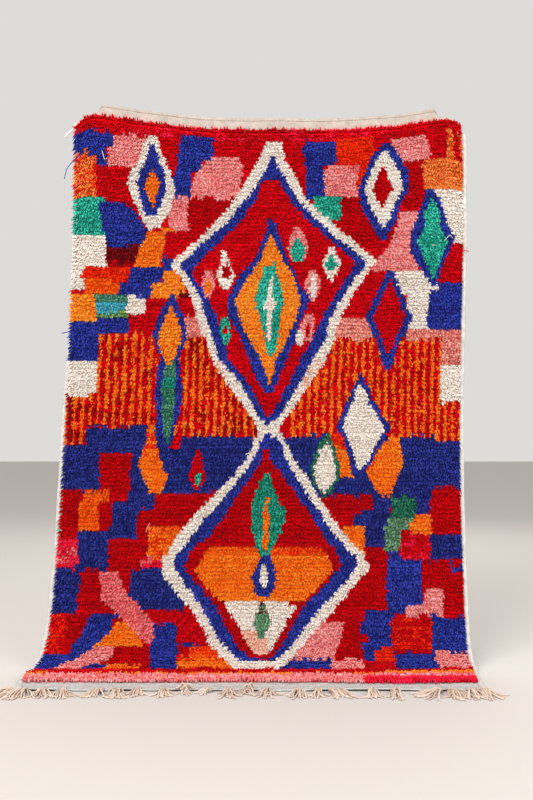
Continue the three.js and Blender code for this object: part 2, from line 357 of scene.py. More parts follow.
# Shapes with slanted sides, in centimetres, painted in this order. Each is a yarn's name, and then along,
# left and right for each bend of its sides.
SHAPES = """
pink 14 46.5 55.5, 17 42.5 56, 20 40.5 56, 23.5 39.5 55.5, 28 39 55
pink 32.5 108 115, 41 105.5 111.5, 44.5 103 112, 52 99 114.5
red 41.5 104 105.5, 44.5 97.5 104, 47.5 100.5 102
blue 29.5 8.5 14, 31 8.5 19.5, 35 9.5 22, 38.5 10 24.5, 44 12 23.5
orange 38.5 24.5 26, 40.5 24.5 31, 45.5 22 30, 51 20.5 29
cream 8.5 25 27.5, 13 23 29, 18.5 21 31.5, 21.5 19 33, 24.5 17.5 34, 28 19.5 33.5, 34 22.5 31.5,
    38.5 24.5 28
blue 12 25.5 27, 18 23.5 29, 24.5 21 31.5, 28.5 22.5 30, 34 24.5 28
orange 19.5 26 26.5, 24.5 24 29, 30.5 26 27
blue 10 103 105, 15 98.5 108, 20 96.5 111, 25 94.5 111.5, 31.5 95.5 108.5, 38 99.5 105.5, 42 102 103.5
cream 12.5 103 104, 18 99 107, 25 96.5 109.5, 31 98.5 106.5, 37.5 102.5 103.5
dark_red 18 102 103, 21 101 104, 25 99 106, 31 102 103
blue 25.5 117.5 118.5, 31.5 115 122.5, 37.5 112.5 124, 41.5 111.5 126.5, 45 111.5 125, 50 113.5 122.5,
    55.5 117.5 121, 57.5 119 120.5
green 28.5 118.5 119, 31.5 117 120.5, 34 115.5 121, 36.5 117 121.5, 39 116 122, 42.5 114 124,
    49.5 116.5 121.5, 54.5 119 120
blue 52 104.5 106, 60 101 109.5, 68 97.5 113, 77 101.5 109, 85 104 106.5
red 55.5 105 105.5, 61.5 102.5 108, 67.5 100 110.5, 74 102.5 108, 80 105 106
blue 61 33 34.5, 67 29.5 37.5, 74.5 27.5 39.5, 81 30.5 37, 87.5 32.5 35.5
blue 78 33 34.5, 83 30.5 37, 90 29.5 38, 95 29.5 38.5, 103 30.5 37, 108 32 35.5, 112 33.5 34.5
amber 64.5 33 34, 75 29 38, 84 32.5 34.5
sage 83.5 32.5 35.5, 88 31.5 36, 95 31.5 36, 103 32.5 35.5, 111 33.5 34.5
jade 88 32 35.5, 90 31.5 36, 92 32 36
orange 104.5 27.5 29.5, 111.5 26.5 31, 117 25 33, 121.5 27 34.5, 126 29 33
orange 107.5 106.5 109.5, 117 99 110.5, 118.5 98.5 110, 127 103 106
red 104.5 37.5 38.5, 108 36.5 38.5, 111.5 34.5 38
blue 87 96 97, 96 92 101, 105 89 106.5, 113 93 102, 121.5 95.5 97
cream 90.5 96 97, 97.5 93.5 100, 105 91 104.5, 112 94 101, 119 96 97
burnt_orange 106.5 87 90.5, 111.5 87.5 92
orange 111.5 87.5 92, 118 89.5 93.5, 121 90 94.5
dark_green 107 85.5 86.5, 112 82.5 88.5, 118 80.5 90, 121.5 81 90, 125 82.5 88, 127 85 86
cream 109.5 85.5 86, 112.5 84 87.5, 118 82 89, 122 82.5 88.5, 126 84.5 85.5
red 111.5 44 44.5, 116 42.5 46, 121 41 47.5, 125 44 45
green 119.5 44.5 45, 121.5 43 46, 124 44.5 45
orange 167.5 21.5 23, 168.5 21 26, 175.5 15 31.5
rose 151 14 20, 157 15.5 22.5, 160 16 25.5, 165.5 21.5 31.5, 168 24.5 32.5, 172 29 33.5, 174.5 31.5 32.5
pink 175 18 21, 176 15 21.5, 179 11.5 22, 181 9 19, 182.5 8 16, 186 5.5 12.5
pink 167.5 84 92, 180 75 88.5
"""

# The upper and the lower large lozenge with the drops in them, written like SHAPES
UPPER_LOZENGE = """
cream 8.5 64.5 69, 15 62 70.5, 21.5 57.5 74, 28.5 53.5 77, 35 48 84.5, 42 41.5 92.5, 48.5 34 101,
    50.5 32.5 99.5, 55 36.5 96.5, 62 40.5 92.5, 68.5 42 89.5, 75.5 45 87.5, 82 47.5 85, 88.5 51.5 81,
    95 56.5 77, 102 61.5 72, 106 63.5 70
blue 14 66 67, 18 64 68.5, 21.5 62.5 70, 28 57.5 74, 35 52.5 80.5, 42 44.5 88, 49 37.5 97.5, 51 36 96.5,
    55 39 93.5, 62 43.5 89.5, 69 45.5 86, 75.5 47.5 84.5, 82 50 80.5, 88.5 56 77.5, 95 60 74, 102 64 69,
    104 66 66.5
red 22.5 63 68, 28 61 71, 35 56.5 77, 42 49.5 85, 50 42 94, 53.5 40 91.5, 62 46 86.5, 69 49 83,
    75.5 51.5 80, 82 53 76.5, 88.5 58.5 74, 95 63 70.5, 101 66 67
blue 36 64.5 67, 38.5 64.5 67.5, 42 63 69, 48.5 60.5 71, 55.5 55 74.5, 62 51.5 79, 69 53 76.5, 75 56.5 75,
    82 59.5 72, 88.5 62 70, 94 66 67.5
amber 40.5 65.5 66, 45 63.5 68, 48.5 62.5 69.5, 55.5 58 73.5, 62.5 54 76, 69 56 74.5, 75 59 72,
    82 63.5 69, 88.5 66 67.5, 91 66.5 67
green 50.5 64 67, 55.5 62.5 68.5, 63 61 70.5, 69 63 69.5, 75 65 69, 78.5 65 68.5, 81 66 67
cream 54.5 65.5 66.5, 62.5 65 67, 63 64 68, 65 64 68, 65.5 65 67, 76.5 65.5 66.5
cream 46 49.5 51, 49 49.5 51.5, 54 48 54, 58.5 50 52
dark_red 50.5 50.5 51.5, 52.5 49.5 53, 55 50 52.5
pink 52.5 45 46.5, 57.5 43 48, 62 45 46.5
orange 55.5 45 46, 58 44 47, 60.5 45 46
pink 38 73.5 75, 41 72 77, 45.5 71 78, 50 73 76
green 42 74 75, 45.5 72 77, 49.5 73 76
cream 45 85 86.5, 50 82.5 89, 56 85 86.5
green 48 85 86, 50.5 83.5 87.5, 53 85 86.5
pink 52 79 80.5, 57.5 77 82.5, 62.5 79 80.5
cream 54 79.5 80.5, 58 78.5 81, 62 79.5 80.5
green 68 51 52.5, 71 49.5 53.5, 74 50 53.5, 77 51 52.5
dark_red 71.5 51.5 52, 72.5 51 52.5, 74 51.5 52
pink 66.5 78 79.5, 71 76.5 81, 76.5 78.5 80
dark_red 69.5 78.5 79, 72 78 80, 74.5 78.5 79
cream 72.5 75.5 77, 75 74.5 78, 78 75.5 77
"""
LOWER_LOZENGE = """
cream 105.5 64 69.5, 110 62 73, 115 60 75, 120 56.5 79, 128 48.5 84, 134.5 43 88, 141 37.5 93,
    147 34.5 98.5, 150.5 34 100, 153 34.5 97.5, 163 43.5 89, 169.5 48 83, 176 51.5 78, 184 59 73
blue 106.5 66 67, 110 64 71, 115 62.5 72.5, 120 59 75.5, 128 52.5 80.5, 134.5 47.5 85, 141 42.5 89.5,
    147 38 95.5, 150 37.5 96, 157 43 90, 163 47.5 84.5, 169.5 51 79, 176 56 74.5, 179 59 73, 181 63 69
dark_red 111.5 65 67, 115 65 67.5, 121 62 71.5, 125 58.5 75, 133 54 80.5, 140 49 85, 145 43 89, 150 41 91,
    157 47 84, 163 52 78.5, 169.5 55.5 75, 176 60 72, 180 64 69
deep_orange 143.5 49.5 84.5, 146.5 47 86.5
orange 146.5 47 86.5, 151 44.5 88.5, 161 52.5 79
cream 160.5 54 72, 162.5 54.5 77, 166 57.5 74, 172.5 61.5 72, 177.5 64 69
peach 170 60 66, 173 61.5 68, 177.5 64 69
grey_green 161.5 65.5 66.5, 164.5 64.5 67.5, 167 63.5 69, 170 64.5 68, 173 66 66.5
jade 119.5 66.5 67.5, 124 63.5 69, 129 62 70.5, 132 61.5 73, 138.5 62 71.5, 144 64 69, 146 65 68
orange 128 66.5 67.5, 132 65.5 67.5, 141 65.5 67.5, 144.5 66 67
blue 146.5 65.5 68, 150.5 63.5 69.5, 154 62.5 70, 157.5 63.5 69, 160 65 67.5
cream 149 66 66.5, 151.5 65 67.5, 154.5 65 67.5, 157.5 66 66.5
"""

# Where the bands along the foot of the pile start, in centimetres
FOOT_RIGHT = 103.5
DARK_RED_FROM = 184.8
ORANGE_FROM = 187.9
RIGHT_ORANGE_FROM = 186
PINK_FROM = 188.6
LATE_PINK_FROM = 189.5
CRIMSON_FROM = 191.4
CRIMSON_RIGHT_OF = 97
FLECKS_RIGHT_OF = 104

# Knots of a second colour strewn through a place, and the share of the knots that have it
# The crimson knots strewn along the top middle are partly painted sheen that lightens the red there
FLECKS = """
yarn left top right bottom share
burnt_orange 0 14 8 29 0.2
maroon 63 160 69 165 0.4
dark_green 31 93 37 111 0.4
maroon 11.5 49.5 21 52.5 0.3
dark_red 0 125 30 200 0.12
dark_red 0 4 130 30 0.1
crimson 20 4 105 9.5 0.25
rose 0 143.5 7 148.5 0.4
rose 27.5 146.5 35 149.5 0.5
red 0 164.5 6.5 178 0.7
red 106 166 118.5 177 0.6
burnt_orange 28 137 40 147 0.3
burnt_orange 24 107 33 114 0.5
burnt_orange 42 174 58 181 0.35
burnt_orange 99 114 104 119 0.4
burnt_orange 69 143 88 146 0.35
peach 36 83 110 87 0.25
peach 75 80 84 96 0.3
crimson 109.5 139 119 148 0.3
"""

# The yarns that a fleck of each colour may stand in for
KIN = {
    "burnt_orange": ["orange", "deep_orange", "apricot"],
    "maroon": ["grey_green", "dark_red"],
    "dark_green": ["sage"],
    "dark_red": ["red"],
    "crimson": ["red"],
    "rose": ["crimson"],
    "red": ["burnt_orange", "crimson"],
    "peach": ["cream"],
}


def smooth(value, low, high):
    """0 below low, 1 above high and a soft step in between."""
    t = np.clip((value - low) / (high - low), 0, 1)
    return t * t * (3 - 2 * t)


def soft_noise(across, along, size, seed):
    """Smooth noise from -1 to 1 with lumps of about the given size."""
    cells = 256
    grid = np.random.default_rng(seed).uniform(-1, 1, (cells, cells))
    u, v = np.asarray(across) / size + 64, np.asarray(along) / size + 64
    i, j = np.floor(u).astype(int), np.floor(v).astype(int)
    s, t = smooth(u - i, 0, 1), smooth(v - j, 0, 1)

    def at(a, b):
        return grid[a % cells, b % cells]

    upper = at(i, j) * (1 - s) + at(i + 1, j) * s
    lower = at(i, j + 1) * (1 - s) + at(i + 1, j + 1) * s
    return upper * (1 - t) + lower * t


def section(along, column):
    """A column of SECTIONS at places along the rug."""
    return np.interp(along, SECTIONS[:, 0], SECTIONS[:, column])


def trace_path():
    """The run of the back of the cloth: how far forward and how far down it is at each millimetre."""
    lean = np.radians(section(np.arange(RUG_LENGTH) + 0.5, LEAN))
    forward = np.concatenate([[0], np.cumsum(np.sin(lean))])
    drop = np.concatenate([[0], np.cumsum(np.cos(lean))])
    return forward, drop


FORWARD, DROP = trace_path()
FLOOR_Z = -DROP[RUG_LENGTH]
FRONT_EDGE = FORWARD[RUG_LENGTH]


def fold_depth(across, along):
    """The soft folds' depth towards the front."""
    depth = BELLY * np.cos(np.pi * across / RUG_WIDTH) * smooth(along, 0, FOLDS_END / 3)
    for deep, width, shift, slant in FOLDS:
        depth = depth + deep * np.sin(2 * np.pi * (across + slant * along) / width + shift)
    return depth * (1 - smooth(along, FOLDS_END / 3, FOLDS_END))


def cloth_point(across, along, out):
    """Points of the cloth in metres, from arrays of places on the rug laid flat."""
    across, along, out = np.broadcast_arrays(*(np.asarray(a, float) for a in (across, along, out)))
    steps = np.arange(RUG_LENGTH + 1)
    forward = np.interp(along, steps, FORWARD) + np.clip(along - RUG_LENGTH, 0, None)
    drop = np.interp(along, steps, DROP) + np.clip(along, None, 0)
    lean = np.radians(section(along, LEAN))
    rise = np.interp(across, TOP_EDGE[:, 0], TOP_EDGE[:, 1]) * (1 - smooth(along, 0, RISE_REACH))
    share = across / RUG_WIDTH + 0.5
    foot = np.clip((along - CURL_START) / (RUG_LENGTH - CURL_START), 0, 1)
    curl = EDGE_CURL * (1 + 0.9 * soft_noise(across, 0, 70, 27)) * foot
    x = section(along, LEFT) * (1 - share) + section(along, RIGHT) * share
    y = -(forward + out * np.cos(lean) + fold_depth(across, along))
    z = rise - drop + out * np.sin(lean) + curl
    return np.stack([x, y, z], -1) * MM


def band_point(across, along, out):
    """Points of the kilim band above the pile, which is folded back outside the grips."""
    hinge = cloth_point(across, TOP_KILIM, 0) / MM
    run = TOP_KILIM - along
    arc = np.minimum(run, BAND_FOLD)
    turn = np.radians(np.interp(across, TOP_EDGE[:, 0], TOP_EDGE[:, 2]))
    bend = np.maximum(turn, 1e-4) / BAND_FOLD
    heading = bend * arc
    x = hinge[..., 0]
    y = hinge[..., 1] + (1 - np.cos(heading)) / bend + np.sin(heading) * (run - arc) - np.cos(heading) * out
    z = hinge[..., 2] + np.sin(heading) / bend + np.cos(heading) * (run - arc) + np.sin(heading) * out
    return np.stack([x, y, z], -1) * MM


def rug_point(across, along, out):
    """Points of the whole cloth, the folded band included."""
    on_band = (along < TOP_KILIM)[..., None]
    return np.where(on_band, band_point(across, along, out), cloth_point(across, along, out))


# The chart of the pattern

def shapes(text):
    """The shapes written as text: each a yarn's name and its rows of along, left and right."""
    found = []
    for word in text.replace(",", " ").split():
        if word[0].isalpha():
            found.append((word, []))
        else:
            found[-1][1].append(float(word))
    return [(yarn, np.reshape(numbers, (-1, 3)).T) for yarn, numbers in found]


def paint(chart, here, yarn):
    chart[here] = YARN_NAMES.index(yarn)


def paint_shapes(chart, u, v, text):
    """Shapes whose sides run straight from row to row."""
    for yarn, (along, left, right) in shapes(text):
        here = (v > along[0]) & (v < along[-1])
        here &= (u > np.interp(v, along, left)) & (u < np.interp(v, along, right))
        paint(chart, here, yarn)


def paint_stripes(chart, u, v, rng):
    """Knobbly orange stripes, wider and narrower from row to row and broken here and there."""
    wander = 0.25 * soft_noise(u, v, 6, 41)
    broken = rng.random(u.shape)
    for left, top, right, bottom, pitch in table(STRIPES):
        here = (u > left) & (u < right) & (v > top) & (v < bottom)
        number, place = np.divmod((u + wander - left) / pitch, 1)
        share = STRIPE_SHARE + 0.3 * soft_noise(number * 7.3, v, 1.2, 43)
        stripe = np.abs(place - 0.3) < share / 2
        deep = (soft_noise(u, v, 3, 42) > 0.3) & (u < 75)
        paint(chart, here, "red")
        paint(chart, here & deep, "deep_red")
        paint(chart, here & stripe & (broken > 0.04), "orange")
        paint(chart, here & stripe & (u < 30) & (v > 94 + 12 * broken), "deep_orange")
        paint(chart, here & ~stripe & (broken < 0.03), "orange")


def paint_foot(chart, u, v, rng):
    """The bands along the foot of the pile, each over the one before."""
    strewn = rng.random(u.shape)
    on_right = u > FOOT_RIGHT
    paint(chart, v > DARK_RED_FROM, "dark_red")
    paint(chart, v > np.where(on_right, RIGHT_ORANGE_FROM, ORANGE_FROM), "orange")
    early = on_right | (soft_noise(u, v, 4, 44) < 0)
    band = v > np.where(early, PINK_FROM, LATE_PINK_FROM)
    paint(chart, band, "pink")
    paint(chart, band & (strewn < 0.35), "rose")
    paint(chart, band & (strewn < 0.04), "crimson")
    # Crimson lighter than its wool: painted light from the floor on this band
    paint(chart, (v > CRIMSON_FROM) & (u > CRIMSON_RIGHT_OF), "crimson")
    flecked = band & (v < CRIMSON_FROM) & (u > FLECKS_RIGHT_OF)
    paint(chart, flecked & (strewn < 0.3), "crimson")
    paint(chart, flecked & (strewn > 0.35) & (strewn < 0.45), "purple")
    paint(chart, flecked & (strewn > 0.95), "cream")


def strewn_in_rows(u, v, rng):
    """Numbers spread evenly from 0 to 1, with short runs of like ones along the rows."""
    mixed = rng.uniform(-1, 1, u.shape) + 1.1 * soft_noise(u / 3, v, 0.9, 35)
    return mixed.argsort().argsort() / mixed.size


def yarn_at(across, along):
    """The yarn at places on the rug laid flat, in millimetres, as indices into YARN_NAMES."""
    rng = np.random.default_rng(7)
    u, v = (across + RUG_WIDTH / 2) / 10, along / 10
    chart = np.full(u.shape, YARN_NAMES.index("red"))
    paint(chart, (v > 118) & (v < 164), "dark_red")
    drift_u = 0.45 * soft_noise(u, v, 4, 31) + 0.5 * soft_noise(u, v, 0.7, 33)
    drift_v = 0.4 * soft_noise(u, v, 5, 32) + 0.35 * soft_noise(u, v, 0.8, 34)
    bu, bv = u + drift_u, v + drift_v
    for yarn, left, top, right, bottom, *lean in table(BLOCKS):
        shift = sum(lean) * np.clip((bv - top) / (bottom - top), 0, 1)
        here = (bu > left + shift) & (bu < right + shift) & (bv > top) & (bv < bottom)
        paint(chart, here, yarn)
    paint_stripes(chart, u, bv, rng)
    mu, mv = u + 0.6 * drift_u, v + 0.6 * drift_v
    for text in (SHAPES, UPPER_LOZENGE, LOWER_LOZENGE):
        paint_shapes(chart, mu, mv, text)
    strewn = strewn_in_rows(u, v, rng)
    plain = chart.copy()
    for yarn, left, top, right, bottom, share in table(FLECKS):
        here = (bu > left) & (bu < right) & (bv > top) & (bv < bottom) & (strewn < share)
        like = np.isin(plain, [YARN_NAMES.index(kin) for kin in KIN[yarn]])
        paint(chart, here & like, yarn)
    paint_foot(chart, u, v + 0.4 * drift_v, rng)
    return chart


# Materials

def linear(colour):
    """A colour in sRGB from 0 to 255 as linear red, green, blue and alpha."""
    share = [c / 255 for c in colour]
    return [c / 12.92 if c <= 0.04045 else ((c + 0.055) / 1.055) ** 2.4 for c in share] + [1]


WOOL_SHADER = {"Roughness": 0.92, "Specular IOR Level": 0.06, "Sheen Weight": 0.02, "Sheen Roughness": 0.45}
GREY_SHADOW = (190, 190, 190)
FIBRE_DEEP = 0.0008


class Nodes:
    """A material and its node tree, with short calls to add nodes and link them."""

    def __init__(self, name):
        self.material = bpy.data.materials.new(name)
        self.material.use_nodes = True
        self.tree = self.material.node_tree
        self.shader = self.tree.nodes["Principled BSDF"]

    def add(self, kind, **settings):
        node = self.tree.nodes.new(kind)
        for key, value in settings.items():
            setattr(node, key, value)
        return node

    def link(self, source, target):
        self.tree.links.new(source, target)

    def noise(self, scale, detail):
        """Noise in the object's own metres, scale being the lumps in a metre."""
        coords = self.add("ShaderNodeTexCoord")
        texture = self.add("ShaderNodeTexNoise")
        texture.inputs["Scale"].default_value = scale
        texture.inputs["Detail"].default_value = detail
        self.link(coords.outputs["Object"], texture.inputs["Vector"])
        return texture.outputs["Fac"]

    def math(self, operation, a, b):
        node = self.add("ShaderNodeMath", operation=operation)
        for socket, value in zip(node.inputs, (a, b)):
            if isinstance(value, (int, float)):
                socket.default_value = value
            else:
                self.link(value, socket)
        return node.outputs[0]

    def ramp(self, factor, stops):
        node = self.add("ShaderNodeValToRGB")
        elements = node.color_ramp.elements
        while len(elements) < len(stops):
            elements.new(1)
        for element, (place, colour) in zip(elements, stops):
            element.position = place
            element.color = linear(colour)
        self.link(factor, node.inputs["Fac"])
        return node.outputs["Color"]

    def mix(self, factor, a, b, blend="MIX"):
        node = self.add("ShaderNodeMix", data_type="RGBA", blend_type=blend)
        for socket, value in ((node.inputs["Factor"], factor), (node.inputs[6], a), (node.inputs[7], b)):
            if isinstance(value, (int, float, list)):
                socket.default_value = value
            else:
                self.link(value, socket)
        return node.outputs[2]

    def attribute(self, name, output="Fac"):
        return self.add("ShaderNodeAttribute", attribute_name=name).outputs[output]

    def bump(self, height, strength, distance):
        node = self.add("ShaderNodeBump")
        node.inputs["Strength"].default_value = strength
        node.inputs["Distance"].default_value = distance
        self.link(height, node.inputs["Height"])
        self.link(node.outputs["Normal"], self.shader.inputs["Normal"])

    def wool(self, colour, fibres, shadow, share):
        """Dull wool of a colour, with a share of the shadow colour in between its fibres."""
        gaps = self.ramp(fibres, [(0.3, shadow), (0.7, (255, 255, 255))])
        self.link(self.mix(share, colour, gaps, "MULTIPLY"), self.shader.inputs["Base Color"])
        for socket, value in WOOL_SHADER.items():
            self.shader.inputs[socket].default_value = value


def shade(colour, factor):
    return tuple(min(255, c * factor) for c in colour)


def yarn_material(yarn):
    """Wool yarn: each end has its own tone, with painted shade at its root and a painted highlight at its
    tip, and fine fibres break it up.
    """
    dark, light, _ = YARNS[yarn]
    nodes = Nodes(f"{yarn}_wool")
    tone = nodes.attribute("tone")
    colour = nodes.ramp(tone, [(0, shade(dark, 0.8)), (0.3, dark), (0.85, light), (1, shade(light, 1.06))])
    fibres = nodes.noise(700, 3)
    nodes.wool(colour, fibres, GREY_SHADOW, 0.5)
    nodes.bump(fibres, 0.6, FIBRE_DEEP)
    return nodes.material


# Meshes

def new_object(name, points, faces, sizes, material):
    """A mesh object from points, a flat array of its faces' corners and how many each face has."""
    mesh = bpy.data.meshes.new(name)
    points = np.asarray(points, np.float32).reshape(-1, 3)
    starts = np.concatenate([[0], np.cumsum(sizes)[:-1]]).astype(np.int32)
    mesh.vertices.add(len(points))
    mesh.vertices.foreach_set("co", points.ravel())
    mesh.loops.add(len(faces))
    mesh.loops.foreach_set("vertex_index", np.asarray(faces, np.int32))
    mesh.polygons.add(len(sizes))
    mesh.polygons.foreach_set("loop_start", starts)
    mesh.shade_smooth()
    mesh.update(calc_edges=True)
    mesh.validate()
    mesh.materials.append(material)
    thing = bpy.data.objects.new(name, mesh)
    bpy.context.scene.collection.objects.link(thing)
    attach(thing, "root")
    return thing


def add_layer(piece, name, values, domain="POINT"):
    """A number for each point or corner of a piece."""
    layer = piece.data.attributes.new(name, "FLOAT", domain)
    layer.data.foreach_set("value", np.asarray(values, np.float32).ravel())


def unit(vectors):
    return vectors / np.maximum(np.linalg.norm(vectors, axis=-1, keepdims=True), 1e-9)


def rings_round(lines, ahead, radii, angle, reference):
    """Rings of points round lines that head ahead, at angles that start from the reference."""
    side = unit(reference - (ahead * reference).sum(-1, keepdims=True) * ahead)[:, :, None]
    up = np.cross(ahead[:, :, None], side)
    ring = side * np.cos(angle)[..., None] + up * np.sin(angle)[..., None]
    return lines[:, :, None] + ring * radii[:, :, None, None]


def tube_faces(count, rings, sides):
    """The faces of closed tubes, whose points run by tube, ring and side, and the faces' sizes."""
    index = np.arange(count * rings * sides).reshape(count, rings, sides)
    low, high = index[:, :-1], index[:, 1:]
    quads = np.stack([low, np.roll(low, -1, 2), np.roll(high, -1, 2), high], -1).reshape(-1, 4)
    caps = np.concatenate([index[:, -1], index[:, 0, ::-1]])
    faces = np.concatenate([quads.ravel(), caps.ravel()])
    return faces, np.concatenate([np.full(len(quads), 4), np.full(len(caps), sides)])


def sweep(lines, radii, sides, reference):
    """Closed strands along many lines of equal length: their points, faces and the faces' sizes.

    lines is an array of strands, rings and coordinates, and radii one of strands and rings.
    """
    angle = np.arange(sides) * 2 * np.pi / sides
    points = rings_round(lines, unit(np.gradient(lines, axis=1)), radii, angle, reference)
    return points, *tube_faces(*radii.shape, sides)


def quad_grid(index):
    """The quads between neighbours in a grid of points' numbers."""
    corners = [index[:-1, :-1], index[1:, :-1], index[1:, 1:], index[:-1, 1:]]
    return np.stack(corners, -1).reshape(-1, 4)


# The pile

def pile_ends():
    """Every yarn end of the pile: arrays with its root, its yarn, its row and its knot."""
    rng = np.random.default_rng(11)
    counts = (KNOTS_ALONG, KNOTS_ACROSS, ENDS_A_KNOT)
    row, column, end = (a.ravel() for a in np.meshgrid(*map(np.arange, counts), indexing="ij"))
    zigzag = np.where((end + column) % 2, 0.19, -0.19)
    across = (column + (end + 0.5) / ENDS_A_KNOT) * KNOT_PITCH_ACROSS - PILE_HALF_WIDE
    along = TOP_KILIM + (row + 0.5 + zigzag) * KNOT_PITCH_ALONG
    across = across + rng.uniform(-1.1, 1.1, len(row))
    along = along + rng.uniform(-1.8, 1.8, len(row)) + 1.5 * soft_noise(across, along, 90, 21)
    along = along + FOOT_SHIFT * smooth(along, PILE_END - 100, PILE_END)
    half = np.floor(2 * (end + 0.5) / ENDS_A_KNOT)
    knot_across = (column + 0.25 + 0.5 * half) * KNOT_PITCH_ACROSS - PILE_HALF_WIDE
    knot_along = TOP_KILIM + (row + 0.5) * KNOT_PITCH_ALONG + TIP_SHIFT * 10
    yarn = yarn_at(knot_across, knot_along)
    return dict(across=across, along=along, yarn=yarn, row=row, knot=row * KNOTS_ACROSS + column, rng=rng)


def pile_lines(ends):
    """The line of each yarn end, from its root out and down the cloth, as points in metres."""
    rng = ends["rng"]
    across, along = ends["across"], ends["along"]
    count = len(across)
    per_knot = rng.uniform(-1, 1, (ends["knot"].max() + 1, 2))
    lumps = soft_noise(across, along, 48, 22)
    high = (PILE_HEIGHT - BED_HEIGHT) * (1 + 0.2 * lumps + rng.uniform(-0.42, 0.42, count)) + ROOT_DEEP
    steep = np.cos(np.radians(section(along, LEAN)))
    droop = PILE_DROOP * (0.35 + 0.65 * steep) * rng.uniform(0.45, 1.5, count)
    sway = KNOT_SWAY * per_knot[ends["knot"], 0] + rng.uniform(-END_SWAY, END_SWAY, count)
    sway = sway + 1.5 * soft_noise(across, along, 30, 23)
    droop = droop + KNOT_DROOP * per_knot[ends["knot"], 1]
    # At the sides the ends lean out, on the left far enough to cover most of the selvedge
    outward = smooth(np.abs(across), PILE_HALF_WIDE - 16, PILE_HALF_WIDE) * np.sign(across)
    reach_left = OVER_LEFT_SELVEDGE - 3 * smooth(along, 650, 1000) - 5 * smooth(along, 1450, 1600)
    over_selvedge = np.where(across < 0, reach_left, 0)
    sway = sway * (1 - 0.65 * np.abs(outward)) + outward * (rng.uniform(-1, 3, count) + over_selvedge)
    # The first rows stand up over the top band, and the last ones lie down over the band at the foot
    top = 1 - smooth(along, TOP_KILIM, TOP_KILIM + 24)
    droop = droop * (1 - top) - top * rng.uniform(-1, 15, count)
    foot = smooth(along, PILE_END - 16, PILE_END)
    longer = LONGER_FOOT * smooth(across, 200, 330) * (1 - 0.7 * smooth(across, 480, 640))
    droop = droop + foot * (rng.uniform(2, 9, count) + longer + 5 * soft_noise(across, 0, 60, 26))
    share = np.array([0.0, 0.55, 1.0])
    u = across[:, None] + sway[:, None] * share ** 1.3
    v = along[:, None] + droop[:, None] * share ** 1.6
    out = BED_HEIGHT - ROOT_DEEP + high[:, None] * np.array([0.0, 0.7, 1.0])
    out[:, 2] *= 1 - FOOT_FLATTENED * foot
    return cloth_point(u, v, out)


def pile_mesh(lines, radii, turn):
    """Yarn ends as three-sided strands with a pointed tip, open at the root inside the bed."""
    count = len(lines)
    ahead = unit(np.gradient(lines, axis=1))[:, :2]
    angle = turn[:, None, None] + np.arange(3) * 2 * np.pi / 3
    rings = rings_round(lines[:, :2], ahead, radii, angle, np.array([1, 0, 0]))
    points = np.concatenate([rings.reshape(count, 6, 3), lines[:, 2:]], 1)
    quads = [(0, 1, 4, 3), (1, 2, 5, 4), (2, 0, 3, 5)]
    tips = [(3, 4, 6), (4, 5, 6), (5, 3, 6)]
    start = 7 * np.arange(count)[:, None, None]
    corners = [(start + np.array(part)).reshape(count, -1) for part in (quads, tips)]
    sizes = np.tile([4, 4, 4, 3, 3, 3], count)
    return points, np.concatenate(corners, 1).ravel(), sizes


def build_pile(materials):
    """The pile, as one joined mesh for each yarn."""
    ends = pile_ends()
    lines = pile_lines(ends)
    rng = ends["rng"]
    count = len(lines)
    radii = YARN_RADIUS * MM * rng.uniform(0.82, 1.15, count)[:, None] * np.array([0.9, 1.0])
    turn = rng.uniform(0, 2 * np.pi, count)
    rows = soft_noise(ends["across"] / 240, ends["row"], 0.9, 24)
    streak = soft_noise(ends["across"], ends["along"], 14, 25)
    tone = 0.5 + 0.14 * rows + 0.12 * streak + rng.uniform(-0.28, 0.28, count)
    pieces = []
    for number, name in enumerate(YARN_NAMES):
        some = ends["yarn"] == number
        points, faces, sizes = pile_mesh(lines[some], radii[some], turn[some])
        piece = new_object(f"{name}_pile_1", points, faces, sizes, materials[name])
        # Each end's own tone, with painted shade at its root and a painted highlight at its tip
        add_layer(piece, "tone", tone[some][:, None] + ROOT_SHADE_TIP_HIGHLIGHT)
        pieces.append(piece)
    return pieces


# The woven ground

# Warps and wefts for each knot, and the share of a knot's size that the lines between knots take
WARPS_A_KNOT = 2.0
WEFTS_A_ROW = 5.0
WARP_LINE = 0.08
WEFT_LINE = 0.17
# The cord along the top edge, in rows of knots above the pile
EDGE_CORD = 2.35
# How far the knots' backs stand out, in millimetres
RIDGE = 0.7


